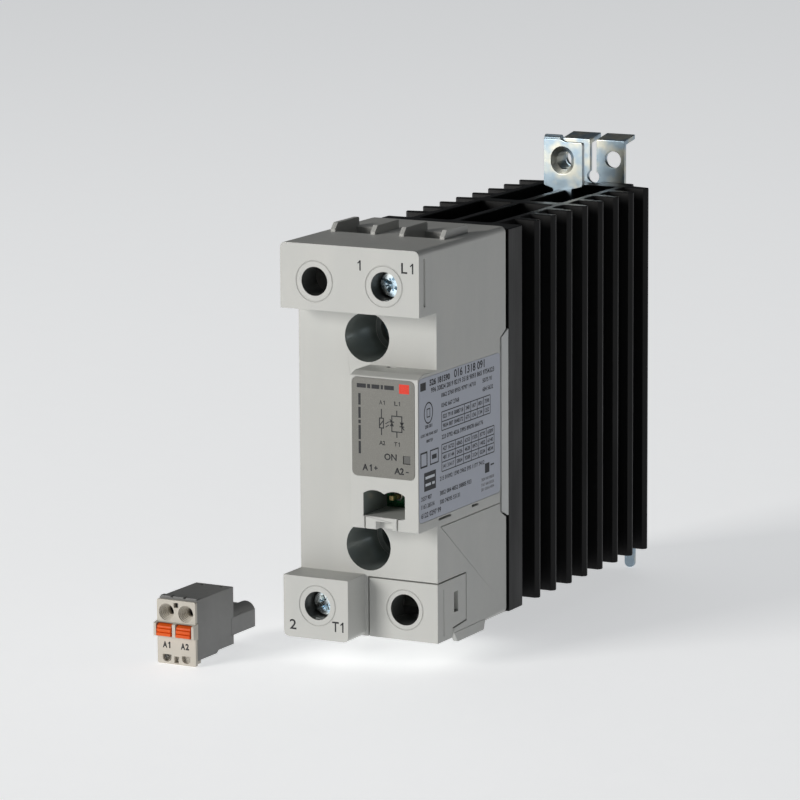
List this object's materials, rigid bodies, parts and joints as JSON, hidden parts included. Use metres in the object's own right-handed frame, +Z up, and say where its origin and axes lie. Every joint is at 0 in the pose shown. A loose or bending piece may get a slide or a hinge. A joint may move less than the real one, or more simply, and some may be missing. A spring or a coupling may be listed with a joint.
{
  "type": "solid state relay",
  "caption": "Narrow two-module solid state relay on a finned heat sink, with a sprung rail latch, screw clamps and a loose push-in control plug.",
  "frame": {"origin": "middle of the rail seat, the flat back of the rail bracket", "axes": "+Y from the front face to the rail, +Z up, +X to the right seen from the front"},
  "size_m": [0.0612, 0.1449, 0.1088],
  "materials": {
    "light_plastic": "fine-grained moulded plastic, light grey",
    "frame_plastic": "moulded plastic, paler grey",
    "label_silver": "printed silver-grey film",
    "label_white": "printed white film",
    "anodised": "black anodised extrusion",
    "zinc": "bright zinc plating, faintly blue",
    "copper": "bare copper",
    "tin": "tinned copper",
    "ceramic": "white ceramic",
    "silicon": "metallised silicon",
    "grease": "thermal compound",
    "board": "green solder mask over glass epoxy",
    "black_plastic": "black moulding compound",
    "clear_plastic": "milky clear plastic",
    "blue_lacquer": "lacquered component",
    "spring_steel": "drawn spring steel",
    "plug_grey": "moulded plastic, mid grey",
    "plug_beige": "moulded plastic, warm beige",
    "orange": "moulded plastic, orange"
  },
  "bodies": {
    "relay": {"housing": "light_plastic", "terminal_cover": "light_plastic", "base_frame": "frame_plastic", "front_label": "label_silver", "side_label": "label_white", "heat_sink": "anodised", "rail_bracket": "zinc", "bracket_screw_upper": "zinc", "bracket_screw_lower": "zinc", "latch_spring": "spring_steel", "spring_stop": "zinc", "screwdriver_tab": "zinc", "fixing_screw_upper": "zinc", "fixing_washer_upper": "zinc", "fixing_screw_lower": "zinc", "fixing_washer_lower": "zinc", "thermal_pad": "grease", "base_plate": "copper", "power_substrate": "ceramic", "thyristor_die_1": "silicon", "thyristor_die_2": "silicon", "busbar_L1": "tin", "busbar_T1": "tin", "control_board": "board", "pin_header": "black_plastic", "control_pin_A1": "tin", "control_pin_A2": "tin", "status_led": "clear_plastic", "light_pipe": "clear_plastic", "optocoupler": "black_plastic", "surge_varistor": "blue_lacquer", "snubber_capacitor": "blue_lacquer", "gate_resistor": "blue_lacquer", "gate_lead_1": "copper", "gate_lead_2": "copper"},
    "latch": {"latch_plate": "zinc"},
    "screw_L1": {"terminal_screw_L1": "zinc"},
    "cage_L1": {"clamp_cage_L1": "zinc"},
    "screw_T1": {"terminal_screw_T1": "zinc"},
    "cage_T1": {"clamp_cage_T1": "zinc"},
    "plug": {"plug_body": "plug_grey", "plug_front": "plug_beige", "plug_contact_A1": "tin", "plug_contact_A2": "tin", "clamp_spring_A1": "spring_steel", "clamp_spring_A2": "spring_steel"},
    "pusher_A1": {"pusher_A1": "orange"},
    "pusher_A2": {"pusher_A2": "orange"}
  },
  "joints": [
    {"name": "latch_slide", "type": "slide", "parent": "relay", "child": "latch", "axis": [0, 0, 1], "range_m": [0, 0.005], "stiffness_N_per_m": 1500, "springref_m": -0.006, "deforming": ["latch_spring"]},
    {"name": "screw_turn_L1", "type": "hinge", "parent": "relay", "child": "screw_L1", "pos_m": [0.00875, -0.1243, 0.037], "axis": [0, 1, 0], "range_deg": [0, 3087]},
    {"name": "cage_slide_L1", "type": "slide", "parent": "relay", "child": "cage_L1", "axis": [0, -1, 0], "range_m": [0, 0.006]},
    {"name": "screw_turn_T1", "type": "hinge", "parent": "relay", "child": "screw_T1", "pos_m": [-0.00875, -0.1243, -0.0368], "axis": [0, 1, 0], "range_deg": [0, 3087]},
    {"name": "cage_slide_T1", "type": "slide", "parent": "relay", "child": "cage_T1", "axis": [0, -1, 0], "range_m": [0, 0.006]},
    {"name": "plug_lift", "type": "slide", "parent": "relay", "child": "plug", "axis": [0, 0, 1], "range_m": [0, 0.0333]},
    {"name": "pusher_travel_A1", "type": "slide", "parent": "plug", "child": "pusher_A1", "axis": [0.014, 0.9999, 0], "range_m": [0, 0.0015], "stiffness_N_per_m": 2000, "springref_m": -0.001},
    {"name": "pusher_travel_A2", "type": "slide", "parent": "plug", "child": "pusher_A2", "axis": [0.014, 0.9999, 0], "range_m": [0, 0.0015], "stiffness_N_per_m": 2000, "springref_m": -0.001}
  ],
  "couplings": [
    {"joint": "screw_turn_L1", "follows": "cage_slide_L1", "rad_per_m": 8976},
    {"joint": "screw_turn_T1", "follows": "cage_slide_T1", "rad_per_m": 8976}
  ]
}
